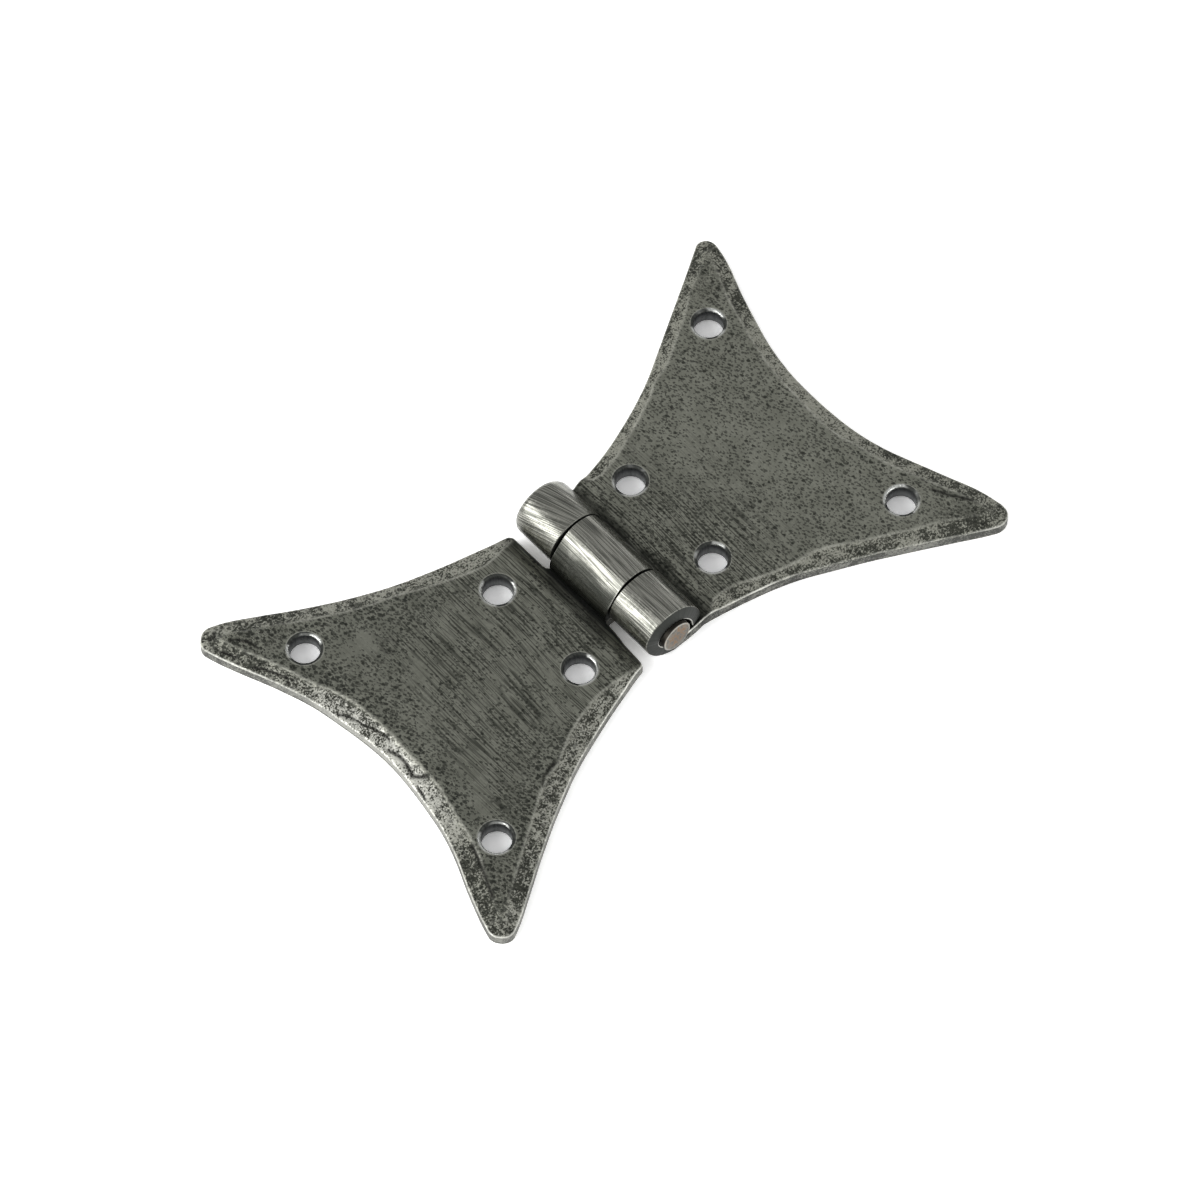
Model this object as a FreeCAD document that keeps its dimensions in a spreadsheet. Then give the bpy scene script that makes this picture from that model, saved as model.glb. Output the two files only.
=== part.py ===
import FreeCAD, Part
import Sketcher
import os
from math import cos, radians, sin

from FreeCAD import Vector

# Butterfly hinge: two hollow-sided leaves of thick plate, drawn thinner along one edge and rolled
# up and over into three knuckles on a plain round pin. The pin lies along Y, the leaves open out
# along X and rest on the plane z = 0. The leaf with two knuckles reaches towards +X, and the leaf
# with the single middle knuckle towards -X. Lengths are in millimetres, angles in degrees.
SIZES = {
    # Plate, rolled strips, pin and barrel
    "plate_thickness": 2.3,
    "roll_thickness": 1.7,
    "pin_diameter": 4.1,
    "pin_clearance": 0.05,
    "pin_projection": 0.7,
    "pin_end_round": 0.35,
    "barrel_length": 23.5,
    "middle_knuckle_length": 9.8,
    "knuckle_gap": 0.4,
    "far_end_round": 0.8,
    # Rolled ends of the strips
    "seam_gap": 0.15,
    "outer_roll_radius": 6.0,
    "middle_roll_radius": 5.0,
    "open_roll_angle": 50.0,
    # Outline of a leaf, from the knuckle edge to the two flared tips
    "knuckle_edge": 4.8,
    "knuckle_slope": 1.5,
    "waist_width": 23.5,
    "side_radius": 67.5,
    "side_start_angle": 9.9,
    "side_flare_angle": 29.9,
    "end_hollow": 34.65,
    "end_radius": 35.0,
    "end_flare_angle": 19.5,
    "tip_radius": 1.65,
    # Bevel along the two sides and the end
    "bevel_width": 2.0,
    "bevel_drop": 0.5,
    # Screw holes
    "hole_diameter": 3.7,
    "hole_chamfer": 0.35,
    "inner_hole_reach": 10.7,
    "inner_hole_spacing": 14.25,
    "outer_hole_reach": 32.5,
    "outer_hole_spacing": 33.4,
}

doc = FreeCAD.newDocument("butterfly_hinge")
sheet = doc.addObject("Spreadsheet::Sheet", "sizes")
for row, (name, number) in enumerate(SIZES.items(), start=1):
    sheet.set(f"A{row}", name)
    sheet.set(f"B{row}", str(number))
    sheet.setAlias(f"B{row}", name)
doc.recompute()

# Lengths that follow from the driving sizes
BORE_RADIUS = "(sizes.pin_diameter / 2 + sizes.pin_clearance)"
KNUCKLE_RADIUS = f"({BORE_RADIUS} + sizes.roll_thickness)"
SIDE_CENTRE_BACK = "(sizes.side_radius * sin(sizes.side_start_angle))"
SIDE_CENTRE_OUT = "(sizes.waist_width / 2 + sizes.side_radius * cos(sizes.side_start_angle))"
END_CENTRE = "(sizes.end_hollow + sizes.end_radius)"


def measure(formula):
    """Number that a formula of the sizes sheet gives."""
    return float(doc.sizes.evalExpression(formula.replace("sizes.", "")))


def origin_plane(body, role):
    """One of the three planes through a body's own origin."""
    return next(item for item in body.Origin.OriginFeatures if item.Role == role)


def new_sketch(body, name, role):
    """Sketch on one of the body's origin planes."""
    sketch = body.newObject("Sketcher::SketchObject", name)
    sketch.AttachmentSupport = (origin_plane(body, role), "")
    sketch.MapMode = "FlatFace"
    return sketch


def dimension(sketch, name, formula, kind, *places):
    """Driving dimension of a sketch, tied to the sizes sheet."""
    number = measure(formula)
    if kind == "Angle":
        number = radians(number)
    index = sketch.addConstraint(Sketcher.Constraint(kind, *places, number))
    sketch.renameConstraint(index, name)
    sketch.setExpression(f"Constraints.{name}", formula)


def relate(sketch, kind, *groups):
    """Several geometric constraints of one kind."""
    for group in groups:
        sketch.addConstraint(Sketcher.Constraint(kind, *group))


def arc(centre, radius, start, end):
    """Arc of a circle in the sketch plane, anticlockwise between two angles in degrees."""
    circle = Part.Circle(Vector(*centre, 0), Vector(0, 0, 1), radius)
    return Part.ArcOfCircle(circle, radians(start), radians(end))


def line(first, second):
    """Straight edge in the sketch plane."""
    return Part.LineSegment(Vector(*first, 0), Vector(*second, 0))


def polar(centre, radius, angle):
    """Point at an angle in degrees on a circle."""
    return (centre[0] + radius * cos(radians(angle)), centre[1] + radius * sin(radians(angle)))


def corner_round(first, first_angle, second, second_angle, radius):
    """Centre of the arc that rounds the corner where two flaring lines meet."""
    ux, uy = polar((0, 0), 1, first_angle)
    vx, vy = polar((0, 0), 1, second_angle)
    run = ((second[0] - first[0]) * vy - (second[1] - first[1]) * vx) / (ux * vy - uy * vx)
    corner = (first[0] + run * ux, first[1] + run * uy)
    inset = radius / sin(radians(second_angle - first_angle) / 2)
    return polar(corner, -inset, (first_angle + second_angle) / 2)


def draw_outline(sketch):
    """Leaf outline: hollow sides that run straight to rounded tips, and a hollow end."""
    edge = measure("sizes.knuckle_edge")
    half_waist = measure("sizes.waist_width / 2")
    side_radius = measure("sizes.side_radius")
    side_start = measure("sizes.side_start_angle")
    side_flare = measure("sizes.side_flare_angle")
    end_radius = measure("sizes.end_radius")
    end_flare = measure("sizes.end_flare_angle")
    tip_radius = measure("sizes.tip_radius")
    side_centre = (edge - measure(SIDE_CENTRE_BACK), measure(SIDE_CENTRE_OUT))
    end_centre = (measure(END_CENTRE), 0)
    side_end = polar(side_centre, side_radius, side_flare - 90)
    end_start = polar(end_centre, end_radius, 180 - end_flare)
    tip = corner_round(side_end, side_flare, end_start, 90 - end_flare, tip_radius)
    tip_side = polar(tip, tip_radius, 90 + side_flare)
    tip_end = polar(tip, tip_radius, -end_flare)

    def below(point):
        return (point[0], -point[1])

    sketch.addGeometry([
        line((edge, -half_waist), (edge, half_waist)),
        arc(side_centre, side_radius, side_start - 90, side_flare - 90),
        line(side_end, tip_side),
        arc(tip, tip_radius, -end_flare, 90 + side_flare),
        line(end_start, tip_end),
        arc(end_centre, end_radius, 180 - end_flare, 180 + end_flare),
        line(below(end_start), below(tip_end)),
        arc(below(tip), tip_radius, -90 - side_flare, end_flare),
        line(below(tip_side), below(side_end)),
        arc(below(side_centre), side_radius, 90 - side_flare, 90 - side_start),
    ])
    relate(sketch, "Coincident", (0, 2, 1, 1), (9, 2, 0, 1))
    relate(
        sketch, "Tangent",
        (1, 2, 2, 1), (2, 2, 3, 2), (3, 1, 4, 2), (4, 1, 5, 1),
        (5, 2, 6, 1), (6, 2, 7, 2), (7, 1, 8, 1), (8, 2, 9, 1),
    )
    relate(sketch, "Symmetric", (0, 1, 0, 2, -1))
    relate(sketch, "PointOnObject", (5, 3, -1))
    relate(sketch, "Equal", (1, 9), (3, 7), (2, 8), (4, 6))
    relate(sketch, "Vertical", (1, 3, 9, 3))
    dimension(sketch, "edge", "sizes.knuckle_edge", "DistanceX", -1, 1, 0, 2)
    dimension(sketch, "waist", "sizes.waist_width", "DistanceY", 0, 1, 0, 2)
    dimension(sketch, "side_radius", "sizes.side_radius", "Radius", 1)
    dimension(sketch, "side_back", SIDE_CENTRE_BACK, "DistanceX", 1, 3, 0, 2)
    dimension(sketch, "side_flare", "sizes.side_flare_angle", "Angle", 2)
    dimension(sketch, "tip_radius", "sizes.tip_radius", "Radius", 3)
    dimension(sketch, "end_radius", "sizes.end_radius", "Radius", 5)
    dimension(sketch, "end_centre", END_CENTRE, "DistanceX", -1, 1, 5, 3)
    dimension(sketch, "end_flare", "90 - sizes.end_flare_angle", "Angle", 4)


def draw_side_path(sketch):
    """Line of a leaf's side, from where it runs along X to well past the tip."""
    radius = measure("sizes.side_radius")
    flare = measure("sizes.side_flare_angle")
    run_out = measure("sizes.end_hollow")
    centre = (measure(f"sizes.knuckle_edge - {SIDE_CENTRE_BACK}"), measure(SIDE_CENTRE_OUT))
    turn = polar(centre, radius, flare - 90)
    sketch.addGeometry([arc(centre, radius, -90, flare - 90), line(turn, polar(turn, run_out, flare))])
    relate(sketch, "Tangent", (0, 2, 1, 1))
    relate(sketch, "Vertical", (0, 1, 0, 3))
    dimension(sketch, "radius", "sizes.side_radius", "Radius", 0)
    dimension(sketch, "back", f"{SIDE_CENTRE_BACK} - sizes.knuckle_edge", "DistanceX", 0, 3, -1, 1)
    dimension(sketch, "out", SIDE_CENTRE_OUT, "DistanceY", -1, 1, 0, 3)
    dimension(sketch, "flare", "sizes.side_flare_angle", "Angle", 1)
    dimension(sketch, "run_out", "sizes.end_hollow", "Distance", 1)


def draw_end_path(sketch):
    """Line of a leaf's hollow end, from its middle to well past the tip."""
    radius = measure("sizes.end_radius")
    flare = measure("sizes.end_flare_angle")
    run_out = measure("sizes.end_hollow")
    centre = (measure(END_CENTRE), 0)
    turn = polar(centre, radius, 180 - flare)
    sketch.addGeometry([arc(centre, radius, 180 - flare, 180), line(turn, polar(turn, run_out, 90 - flare))])
    relate(sketch, "Tangent", (0, 1, 1, 1))
    relate(sketch, "PointOnObject", (0, 2, -1), (0, 3, -1))
    dimension(sketch, "radius", "sizes.end_radius", "Radius", 0)
    dimension(sketch, "centre", END_CENTRE, "DistanceX", -1, 1, 0, 3)
    dimension(sketch, "flare", "90 - sizes.end_flare_angle", "Angle", 1)
    dimension(sketch, "run_out", "sizes.end_hollow", "Distance", 1)


def draw_bevel_section(sketch, edge_formula):
    """Triangle whose long side is the bevel, drawn out past both of the bevel's borders."""
    across = f"{edge_formula} + sizes.bevel_width"
    above = "sizes.plate_thickness + sizes.bevel_drop"
    corner = (measure(across), measure(above))
    low = (corner[0], corner[1] - measure("3 * sizes.bevel_drop"))
    inward = (corner[0] - measure("3 * sizes.bevel_width"), corner[1])
    sketch.addGeometry([line(low, corner), line(corner, inward), line(inward, low)])
    relate(sketch, "Coincident", (0, 2, 1, 1), (1, 2, 2, 1), (2, 2, 0, 1))
    relate(sketch, "Vertical", (0,))
    relate(sketch, "Horizontal", (1,))
    dimension(sketch, "across", across, "DistanceX", -1, 1, 0, 2)
    dimension(sketch, "above", above, "DistanceY", -1, 1, 0, 2)
    dimension(sketch, "height", "3 * sizes.bevel_drop", "Distance", 0)
    dimension(sketch, "width", "3 * sizes.bevel_width", "Distance", 1)


def draw_knuckle_slope(sketch):
    """Triangle over the slope from the plate's top down to the top of the rolled strips."""
    drop = "sizes.plate_thickness - sizes.roll_thickness"
    edge = measure("sizes.knuckle_edge")
    top = measure("sizes.plate_thickness")
    low = (edge, measure("sizes.roll_thickness"))
    high = (edge + measure("sizes.knuckle_slope"), top)
    sketch.addGeometry([line(low, high), line(high, (edge, top)), line((edge, top), low)])
    relate(sketch, "Coincident", (0, 2, 1, 1), (1, 2, 2, 1), (2, 2, 0, 1))
    relate(sketch, "Horizontal", (1,))
    relate(sketch, "Vertical", (2,))
    dimension(sketch, "edge", "sizes.knuckle_edge", "DistanceX", -1, 1, 0, 1)
    dimension(sketch, "strip", "sizes.roll_thickness", "DistanceY", -1, 1, 0, 1)
    dimension(sketch, "slope", "sizes.knuckle_slope", "Distance", 1)
    dimension(sketch, "drop", drop, "Distance", 2)


def draw_screw_holes(sketch):
    """Four screw holes: a close pair by the knuckles and a wide pair by the tips."""
    radius = measure("sizes.hole_diameter / 2")
    for pair in ("inner", "outer"):
        reach = f"sizes.{pair}_hole_reach"
        spacing = f"sizes.{pair}_hole_spacing"
        for side in (1, -1):
            centre = Vector(measure(reach), side * measure(spacing) / 2, 0)
            sketch.addGeometry(Part.Circle(centre, Vector(0, 0, 1), radius))
        upper = sketch.GeometryCount - 2
        lower = sketch.GeometryCount - 1
        relate(sketch, "Symmetric", (upper, 3, lower, 3, -1))
        dimension(sketch, f"{pair}_reach", reach, "DistanceX", -1, 1, upper, 3)
        dimension(sketch, f"{pair}_spacing", spacing, "DistanceY", lower, 3, upper, 3)
    relate(sketch, "Equal", (0, 1), (0, 2), (0, 3))
    dimension(sketch, "diameter", "sizes.hole_diameter", "Diameter", 0)


def draw_open_roll(sketch, roll_radius):
    """Section of a strip rolled over the pin and eased out to a wider radius before its end."""
    edge = measure("sizes.knuckle_edge")
    thickness = measure("sizes.roll_thickness")
    outer = measure(KNUCKLE_RADIUS)
    inner = measure(BORE_RADIUS)
    eased = measure(roll_radius)
    ease_angle = measure("sizes.open_roll_angle")
    widening = f"({roll_radius} - {KNUCKLE_RADIUS})"
    axis = (0, outer)
    eased_centre = polar(axis, -measure(widening), ease_angle)
    drop = f"sizes.roll_thickness + sizes.seam_gap - {KNUCKLE_RADIUS}"
    rise = f"{widening} * sin(sizes.open_roll_angle)"
    end_angle = measure(f"asin(({drop} + {rise}) / {roll_radius})")
    eased_end = polar(eased_centre, eased, end_angle)
    eased_inner_end = polar(eased_centre, eased - thickness, end_angle)
    sketch.addGeometry([
        line((edge, 0), (0, 0)),
        arc(axis, outer, ease_angle, 270),
        arc(eased_centre, eased, end_angle, ease_angle),
        line(eased_end, eased_inner_end),
        arc(eased_centre, eased - thickness, end_angle, ease_angle),
        arc(axis, inner, ease_angle, 270),
        line((0, thickness), (edge, thickness)),
        line((edge, thickness), (edge, 0)),
        line(axis, polar(axis, outer, ease_angle)),
    ])
    sketch.setConstruction(8, True)
    relate(sketch, "Tangent", (0, 2, 1, 2), (1, 1, 2, 2), (4, 2, 5, 1), (5, 2, 6, 1))
    relate(
        sketch, "Coincident",
        (2, 1, 3, 1), (3, 2, 4, 1), (6, 2, 7, 1), (7, 2, 0, 1),
        (1, 3, 5, 3), (2, 3, 4, 3), (8, 1, 1, 3), (8, 2, 1, 1),
    )
    relate(sketch, "PointOnObject", (0, 1, -1), (1, 3, -2), (2, 3, 3))
    relate(sketch, "Horizontal", (0,))
    relate(sketch, "Vertical", (7,))
    dimension(sketch, "outer", KNUCKLE_RADIUS, "Radius", 1)
    dimension(sketch, "eased", roll_radius, "Radius", 2)
    dimension(sketch, "ease_angle", "sizes.open_roll_angle", "Angle", 8)
    dimension(sketch, "thickness", "sizes.roll_thickness", "Distance", 7)
    dimension(sketch, "edge", "sizes.knuckle_edge", "DistanceX", -1, 1, 0, 1)
    dimension(sketch, "seam", "sizes.roll_thickness + sizes.seam_gap", "DistanceY", -1, 1, 2, 1)


def draw_notch(sketch):
    """Room for the other leaf's middle knuckle, back to the knuckle edge."""
    left = f"2 * {KNUCKLE_RADIUS}"
    across = "sizes.middle_knuckle_length + 2 * sizes.knuckle_gap"
    far = measure(across) / 2
    back = -measure(left)
    edge = measure("sizes.knuckle_edge")
    sketch.addGeometry([
        line((back, -far), (edge, -far)),
        line((edge, -far), (edge, far)),
        line((edge, far), (back, far)),
        line((back, far), (back, -far)),
    ])
    relate(sketch, "Coincident", (0, 2, 1, 1), (1, 2, 2, 1), (2, 2, 3, 1), (3, 2, 0, 1))
    relate(sketch, "Horizontal", (0,), (2,))
    relate(sketch, "Vertical", (3,))
    relate(sketch, "Symmetric", (1, 1, 1, 2, -1))
    dimension(sketch, "edge", "sizes.knuckle_edge", "DistanceX", -1, 1, 1, 2)
    dimension(sketch, "left", left, "DistanceX", 3, 1, -1, 1)
    dimension(sketch, "across", across, "DistanceY", 1, 1, 1, 2)


def draw_far_round(sketch):
    """Corner outside the rounded far end of the barrel, over the top of the pin, and the pin's axis."""
    end = measure("sizes.barrel_length / 2")
    height = measure(KNUCKLE_RADIUS)
    top = 2 * height
    size = measure("sizes.far_end_round")
    sketch.addGeometry([
        line((0, height), (end, height)),
        arc((end - size, top - size), size, 0, 90),
        line((end - size, top), (end - size, top + size)),
        line((end - size, top + size), (end + size, top + size)),
        line((end + size, top + size), (end + size, top - size)),
        line((end + size, top - size), (end, top - size)),
    ])
    sketch.setConstruction(0, True)
    relate(sketch, "Coincident", (1, 2, 2, 1), (2, 2, 3, 1), (3, 2, 4, 1), (4, 2, 5, 1), (5, 2, 1, 1))
    relate(sketch, "Horizontal", (0,), (3,), (5,), (1, 1, 1, 3))
    relate(sketch, "Vertical", (2,), (4,), (1, 2, 1, 3), (0, 2, 1, 1))
    relate(sketch, "PointOnObject", (0, 1, -2))
    dimension(sketch, "axis_height", KNUCKLE_RADIUS, "DistanceY", -1, 1, 0, 1)
    dimension(sketch, "end", "sizes.barrel_length / 2", "DistanceX", -1, 1, 1, 1)
    dimension(sketch, "top", f"2 * {KNUCKLE_RADIUS}", "DistanceY", -1, 1, 1, 2)
    dimension(sketch, "size", "sizes.far_end_round", "Radius", 1)
    dimension(sketch, "margin_up", "sizes.far_end_round", "Distance", 2)
    dimension(sketch, "margin_out", "sizes.far_end_round", "Distance", 5)


def pad(body, name, sketch, length):
    """Sketch drawn out to a length along its normal."""
    feature = body.newObject("PartDesign::Pad", name)
    feature.Profile = sketch
    feature.setExpression("Length", length)
    return feature


def cut_through(body, name, sketch):
    """Sketch on the underside cut upwards through everything."""
    feature = body.newObject("PartDesign::Pocket", name)
    feature.Profile = sketch
    feature.Type = "ThroughAll"
    feature.Reversed = True
    return feature


def sweep_cut(body, name, section, path):
    """Section carried upright along a path and cut away."""
    feature = body.newObject("PartDesign::SubtractivePipe", name)
    feature.Profile = section
    feature.Spine = (path, ["Edge1", "Edge2"])
    feature.Mode = "Binormal"
    feature.Binormal = Vector(0, 0, 1)
    return feature


def must_remove(feature, before):
    """Stops the build if a cut has taken nothing away."""
    doc.recompute()
    if not feature.Shape.Volume < before.Volume:
        raise RuntimeError(f"{feature.Name} cuts nothing")


def bevelled_plate(label):
    """Body with the flat part of a leaf: its outline, its screw holes and its bevels."""
    body = doc.addObject("PartDesign::Body", label)
    body.Label = label
    outline = new_sketch(body, f"{label}_outline", "XY_Plane")
    draw_outline(outline)
    plate = pad(body, f"{label}_plate", outline, "sizes.plate_thickness")
    doc.recompute()

    slope_section = new_sketch(body, f"{label}_slope_section", "XZ_Plane")
    draw_knuckle_slope(slope_section)
    slope = body.newObject("PartDesign::Pocket", f"{label}_knuckle_slope")
    slope.Profile = slope_section
    slope.Type = "ThroughAll"
    slope.SideType = "Symmetric"
    must_remove(slope, plate.Shape)

    hole_centres = new_sketch(body, f"{label}_hole_centres", "XY_Plane")
    draw_screw_holes(hole_centres)
    holes = cut_through(body, f"{label}_screw_holes", hole_centres)
    must_remove(holes, slope.Shape)

    hole_radius = measure("sizes.hole_diameter / 2")
    rims = [
        f"Edge{index}"
        for index, edge in enumerate(holes.Shape.Edges, start=1)
        if isinstance(edge.Curve, Part.Circle) and abs(edge.Curve.Radius - hole_radius) < 1e-6
    ]
    rim_chamfer = body.newObject("PartDesign::Chamfer", f"{label}_hole_rims")
    rim_chamfer.Base = (holes, rims)
    rim_chamfer.setExpression("Size", "sizes.hole_chamfer")
    must_remove(rim_chamfer, holes.Shape)

    side_path = new_sketch(body, f"{label}_side_path", "XY_Plane")
    draw_side_path(side_path)
    side_section = new_sketch(body, f"{label}_side_bevel_section", "YZ_Plane")
    side_section.setExpression("AttachmentOffset.Base.z", f"sizes.knuckle_edge - {SIDE_CENTRE_BACK}")
    draw_bevel_section(side_section, f"{SIDE_CENTRE_OUT} - sizes.side_radius")
    side_bevel = sweep_cut(body, f"{label}_side_bevel", side_section, side_path)
    must_remove(side_bevel, rim_chamfer.Shape)

    end_path = new_sketch(body, f"{label}_end_path", "XY_Plane")
    draw_end_path(end_path)
    end_section = new_sketch(body, f"{label}_end_bevel_section", "XZ_Plane")
    draw_bevel_section(end_section, "sizes.end_hollow")
    end_bevel = sweep_cut(body, f"{label}_end_bevel", end_section, end_path)
    must_remove(end_bevel, side_bevel.Shape)

    other_bevels = body.newObject("PartDesign::Mirrored", f"{label}_other_bevels")
    other_bevels.Originals = [side_bevel, end_bevel]
    other_bevels.MirrorPlane = (origin_plane(body, "XZ_Plane"), [""])
    body.Tip = other_bevels
    must_remove(other_bevels, end_bevel.Shape)
    return body


def roll_knuckles(body, roll_radius, length):
    """Rolled edge of a leaf, drawn out both ways from the middle of the barrel."""
    section = new_sketch(body, f"{body.Label}_roll_section", "XZ_Plane")
    draw_open_roll(section, roll_radius)
    roll = pad(body, f"{body.Label}_roll", section, length)
    roll.SideType = "Symmetric"
    doc.recompute()
    return roll


# Leaf with the two outer knuckles, notched for the middle one
double_leaf = bevelled_plate("double_knuckle_leaf")
outer_roll = roll_knuckles(double_leaf, "sizes.outer_roll_radius", "sizes.barrel_length")
notch_outline = new_sketch(double_leaf, "notch_outline", "XY_Plane")
draw_notch(notch_outline)
notch = cut_through(double_leaf, "notch", notch_outline)
must_remove(notch, outer_roll.Shape)

# The barrel's far end is filed round, from under the pin up to where the roll eases out
far_round_section = new_sketch(double_leaf, "far_round_section", "YZ_Plane")
draw_far_round(far_round_section)
far_round = double_leaf.newObject("PartDesign::Groove", "far_round")
far_round.Profile = far_round_section
far_round.ReferenceAxis = (far_round_section, ["Axis0"])
far_round.Type = "TwoAngles"
far_round.setExpression("Angle", "90 - sizes.open_roll_angle")
far_round.Angle2 = 180
must_remove(far_round, notch.Shape)

# Leaf with the middle knuckle, turned to the other side of the pin
single_leaf = bevelled_plate("single_knuckle_leaf")
roll_knuckles(single_leaf, "sizes.middle_roll_radius", "sizes.middle_knuckle_length")
single_leaf.Placement.Rotation = FreeCAD.Rotation(Vector(0, 0, 1), 180)

# Pin: flush with the far end of the barrel, and standing a little out of the near end
pin = doc.addObject("PartDesign::Body", "hinge_pin")
pin.Label = "hinge_pin"
pin_circle = new_sketch(pin, "pin_circle", "XZ_Plane")
pin_circle.setExpression("AttachmentOffset.Base.z", "-sizes.barrel_length / 2")
pin_centre = Vector(0, measure(KNUCKLE_RADIUS), 0)
pin_circle.addGeometry(Part.Circle(pin_centre, Vector(0, 0, 1), measure("sizes.pin_diameter / 2")))
relate(pin_circle, "PointOnObject", (0, 3, -2))
dimension(pin_circle, "height", KNUCKLE_RADIUS, "DistanceY", -1, 1, 0, 3)
dimension(pin_circle, "diameter", "sizes.pin_diameter", "Diameter", 0)
pin_rod = pad(pin, "pin_rod", pin_circle, "sizes.barrel_length + sizes.pin_projection")
doc.recompute()
pin_ends = [
    f"Edge{index}"
    for index, edge in enumerate(pin_rod.Shape.Edges, start=1)
    if isinstance(edge.Curve, Part.Circle)
]
pin_rounds = pin.newObject("PartDesign::Fillet", "pin_rounds")
pin_rounds.Base = (pin_rod, pin_ends)
pin_rounds.setExpression("Radius", "sizes.pin_end_round")
doc.recompute()

# Every feature has to be sound before a file is written
for item in doc.Objects:
    if "Invalid" in item.State or "Error" in item.State:
        raise RuntimeError(f"{item.Name} failed: {item.State}")
pieces = (double_leaf, single_leaf, pin)
for piece in pieces:
    if piece.Shape.isNull() or not piece.Shape.isValid():
        raise RuntimeError(f"{piece.Label} is not a valid solid")

os.makedirs("parts", exist_ok=True)
for piece in pieces:
    piece.Shape.exportStep(f"parts/{piece.Label}.step")
    print(piece.Label, len(piece.Shape.Solids), round(piece.Shape.Volume, 2), piece.Shape.BoundBox)
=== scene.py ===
import bmesh
import bpy
import numpy as np
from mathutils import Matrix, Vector
from mathutils.geometry import delaunay_2d_cdt


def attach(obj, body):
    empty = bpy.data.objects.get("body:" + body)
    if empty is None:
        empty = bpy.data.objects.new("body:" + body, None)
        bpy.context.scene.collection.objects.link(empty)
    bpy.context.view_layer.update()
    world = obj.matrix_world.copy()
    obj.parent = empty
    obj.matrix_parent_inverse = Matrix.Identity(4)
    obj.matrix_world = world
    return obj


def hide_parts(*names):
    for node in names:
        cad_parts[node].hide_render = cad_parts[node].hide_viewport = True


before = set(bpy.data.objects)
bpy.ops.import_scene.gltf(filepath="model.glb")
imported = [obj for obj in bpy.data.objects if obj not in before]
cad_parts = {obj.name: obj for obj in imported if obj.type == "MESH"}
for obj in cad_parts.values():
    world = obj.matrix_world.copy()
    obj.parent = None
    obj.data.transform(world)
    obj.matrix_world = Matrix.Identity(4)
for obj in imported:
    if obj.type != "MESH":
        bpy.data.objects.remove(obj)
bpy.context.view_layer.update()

# Leaf with the two outer knuckles: mild steel plate, cut as a wing, punched for four screws, hammered
# thin along its sides and end, and drawn out into two strips that are rolled over the pin. Then it is
# blackened and rubbed back. The blank is in millimetres, with x out from the pin and y along it.
PLATE = 2.3
STRIP = 1.7
BORE = 2.1
KNUCKLE = BORE + STRIP
KNUCKLE_EDGE = 4.8
SIDE_ARC = ((-6.805, 78.245), 67.5, -80.1, -60.1)
TIP_ARC = ((39.697, 25.217), 1.65, 119.9, -19.5)
END_ARC = ((69.65, 0.0), 35.0, 160.5, 180.0)
HOLE_RADIUS = 1.83
HOLE_CENTRES = [(10.7, 7.125), (10.7, -7.125), (32.5, 16.7), (32.5, -16.7)]
ROLL_TURN = np.radians(220.0)
OUTER_EASED = 6.0
OUTER_END = -(KNUCKLE * ROLL_TURN + OUTER_EASED * np.radians(52.5))
NOTCH_NEAR = -4.78
NOTCH_FAR = 5.5
TIP_START = 18.5
TIP_RUN = 4.5
TRIM_EASING = 3


def curve_points(centre, radius, start, end, step=0.5):
    """Points along an arc, its angles in degrees."""
    count = max(2, int(abs(np.radians(end - start)) * radius / step) + 2)
    turn = np.radians(np.linspace(start, end, count))
    return np.array(centre) + radius * np.column_stack([np.cos(turn), np.sin(turn)])


def evenly(path, step):
    """Points at even steps along a path, with every sharp corner of the path kept."""
    runs = np.linalg.norm(np.diff(path, axis=0), axis=1)
    kept = []
    for start, end, run in zip(path[:-1], path[1:], runs):
        share = np.arange(max(1, round(run / step))) / max(1, round(run / step))
        kept.append(start + share[:, None] * (end - start))
    return np.concatenate(kept)


def path_distance(points, path):
    """Distance of each point from a path of straight runs."""
    start = path[:-1]
    run = path[1:] - start
    length = (run ** 2).sum(1) + 1e-12
    nearest = []
    for block in np.array_split(points, len(points) // 1500 + 1):
        away = block[:, None] - start
        share = np.clip((away * run).sum(2) / length, 0, 1)
        nearest.append(np.linalg.norm(away - share[:, :, None] * run, axis=2).min(1))
    return np.concatenate(nearest)


def within(points, loop):
    """Which points lie inside a closed loop."""
    inside = np.zeros(len(points), bool)
    for (ax, ay), (bx, by) in zip(loop, np.roll(loop, -1, axis=0)):
        if ay != by:
            level = (ay > points[:, 1]) != (by > points[:, 1])
            inside ^= level & (points[:, 0] < ax + (points[:, 1] - ay) * (bx - ax) / (by - ay))
    return inside


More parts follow.
